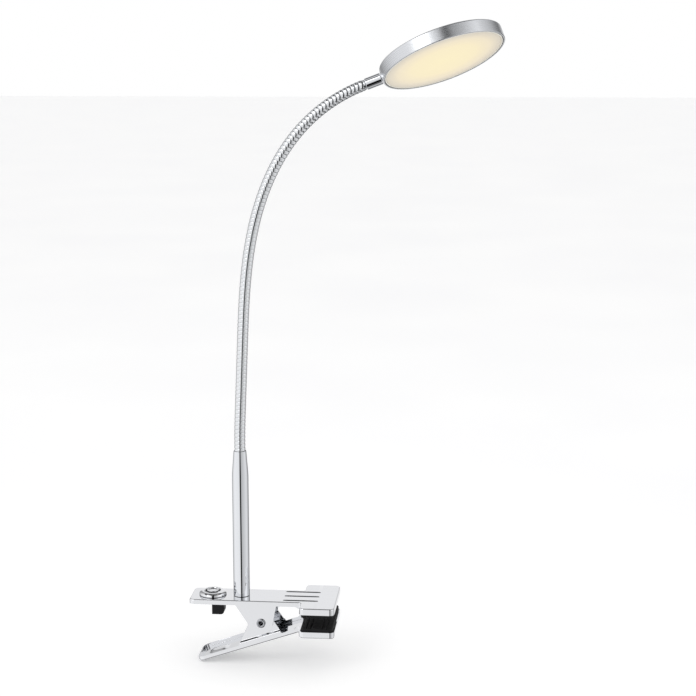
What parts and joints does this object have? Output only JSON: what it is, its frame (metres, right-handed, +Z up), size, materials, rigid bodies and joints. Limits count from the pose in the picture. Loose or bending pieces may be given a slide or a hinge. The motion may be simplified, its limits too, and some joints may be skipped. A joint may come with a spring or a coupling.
{
  "type": "clip on reading lamp",
  "caption": "Reading lamp with a sprung two-jaw table clamp, a short tapered post, a flexible ribbed neck, a push switch and a flat round LED head.",
  "frame": {"origin": "centre of the upper jaw pad's gripping face, which rests on the table top", "axes": "+Z up along the post, +X from the switch end out through the tip of the jaws, +Y across the jaws"},
  "size_m": [0.2349, 0.091, 0.4878],
  "materials": {
    "chromed_steel": "polished",
    "plated_steel": "satin",
    "turned_brass": "satin",
    "black_rubber": "matte",
    "black_nylon": "satin",
    "brushed_aluminium": "brushed",
    "white_moulding": "satin",
    "opal_acrylic": "satin",
    "clear_acrylic": "polished",
    "white_laminate": "satin",
    "white_film": "matte",
    "lead_insulation": "satin"
  },
  "bodies": {
    "clamp_frame": {"upper_clamp_plate": "chromed_steel", "upper_jaw_pad": "black_rubber", "pivot_rivet": "plated_steel", "clamp_spring": "plated_steel", "post_tube": "chromed_steel", "post_nipple": "plated_steel", "post_washer": "plated_steel", "post_nut": "plated_steel", "post_base_insert": "turned_brass", "neck_socket": "turned_brass", "neck_segment_0": "chromed_steel", "neck_lead_0": "lead_insulation", "supply_lead": "lead_insulation", "switch_bezel": "chromed_steel", "switch_housing": "black_nylon", "switch_terminal_1": "turned_brass", "switch_terminal_2": "turned_brass", "button_spring": "plated_steel", "cord_gland": "black_nylon"},
    "clamp_lever": {"lower_clamp_lever": "chromed_steel", "lower_jaw_pad": "black_rubber"},
    "button": {"switch_button": "chromed_steel"},
    "neck_1": {"neck_segment_1": "chromed_steel", "neck_lead_1": "lead_insulation"},
    "neck_2": {"neck_segment_2": "chromed_steel", "neck_lead_2": "lead_insulation"},
    "neck_3": {"neck_segment_3": "chromed_steel", "neck_lead_3": "lead_insulation"},
    "neck_4": {"neck_segment_4": "chromed_steel", "neck_lead_4": "lead_insulation"},
    "neck_5": {"neck_segment_5": "chromed_steel", "neck_lead_5": "lead_insulation"},
    "neck_6": {"neck_segment_6": "chromed_steel", "neck_lead_6": "lead_insulation"},
    "neck_7": {"neck_segment_7": "chromed_steel", "neck_lead_7": "lead_insulation"},
    "neck_8": {"neck_segment_8": "chromed_steel", "neck_lead_8": "lead_insulation", "neck_tip_fitting": "plated_steel"},
    "lamp_head": {"head_stem": "chromed_steel", "stem_clinch_ring": "plated_steel", "head_housing": "brushed_aluminium", "front_ring": "white_moulding", "diffuser": "opal_acrylic", "light_guide": "clear_acrylic", "led_strip": "white_laminate", "reflector_sheet": "white_film", "lead_board": "white_laminate", "head_lead": "lead_insulation"}
  },
  "joints": [
    {"name": "jaw_hinge", "type": "hinge", "parent": "clamp_frame", "child": "clamp_lever", "pos_m": [-0.0442, 0, -0.0098], "axis": [0, 1, 0], "range_deg": [-8, 30], "stiffness_Nm_per_rad": 0.8, "springref_deg": -48.13, "deforming": ["clamp_spring"]},
    {"name": "button_press", "type": "slide", "parent": "clamp_frame", "child": "button", "axis": [0, 0, -1], "range_m": [0, 0.0014], "stiffness_N_per_m": 600, "springref_m": -0.002, "deforming": ["button_spring"]},
    {"name": "neck_bend_1", "type": "hinge", "parent": "clamp_frame", "child": "neck_1", "pos_m": [-0.06025, 0, 0.15743], "axis": [0, 1, 0], "range_deg": [-17, 12]},
    {"name": "neck_lean_1", "type": "hinge", "parent": "neck_1", "child": "neck_2", "pos_m": [-0.05875, 0, 0.19184], "axis": [0.999, 0, -0.0436], "range_deg": [-12, 12]},
    {"name": "neck_bend_2", "type": "hinge", "parent": "neck_2", "child": "neck_3", "pos_m": [-0.05718, 0, 0.22625], "axis": [0, 1, 0], "range_deg": [-17, 12]},
    {"name": "neck_lean_2", "type": "hinge", "parent": "neck_3", "child": "neck_4", "pos_m": [-0.05444, 0, 0.26058], "axis": [0.9934, 0, -0.1148], "range_deg": [-12, 12]},
    {"name": "neck_bend_3", "type": "hinge", "parent": "neck_4", "child": "neck_5", "pos_m": [-0.04864, 0, 0.29451], "axis": [0, 1, 0], "range_deg": [-17, 12]},
    {"name": "neck_lean_3", "type": "hinge", "parent": "neck_5", "child": "neck_6", "pos_m": [-0.03796, 0, 0.32721], "axis": [0.918, 0, -0.3966], "range_deg": [-12, 12]},
    {"name": "neck_bend_4", "type": "hinge", "parent": "neck_6", "child": "neck_7", "pos_m": [-0.02092, 0, 0.35706], "axis": [0, 1, 0], "range_deg": [-17, 12]},
    {"name": "neck_lean_4", "type": "hinge", "parent": "neck_7", "child": "neck_8", "pos_m": [0.00314, 0, 0.38155], "axis": [0.6065, 0, -0.7951], "range_deg": [-12, 12]},
    {"name": "head_swivel", "type": "hinge", "parent": "neck_8", "child": "lamp_head", "pos_m": [0.03313, 0, 0.39825], "axis": [0.9342, 0, 0.3566], "range_deg": [-60, 60]}
  ],
  "couplings": [
    {"joint": "neck_bend_2", "follows": "neck_bend_1", "ratio": 1},
    {"joint": "neck_lean_2", "follows": "neck_lean_1", "ratio": 1},
    {"joint": "neck_bend_3", "follows": "neck_bend_1", "ratio": 1},
    {"joint": "neck_lean_3", "follows": "neck_lean_1", "ratio": 1},
    {"joint": "neck_bend_4", "follows": "neck_bend_1", "ratio": 1},
    {"joint": "neck_lean_4", "follows": "neck_lean_1", "ratio": 1}
  ]
}
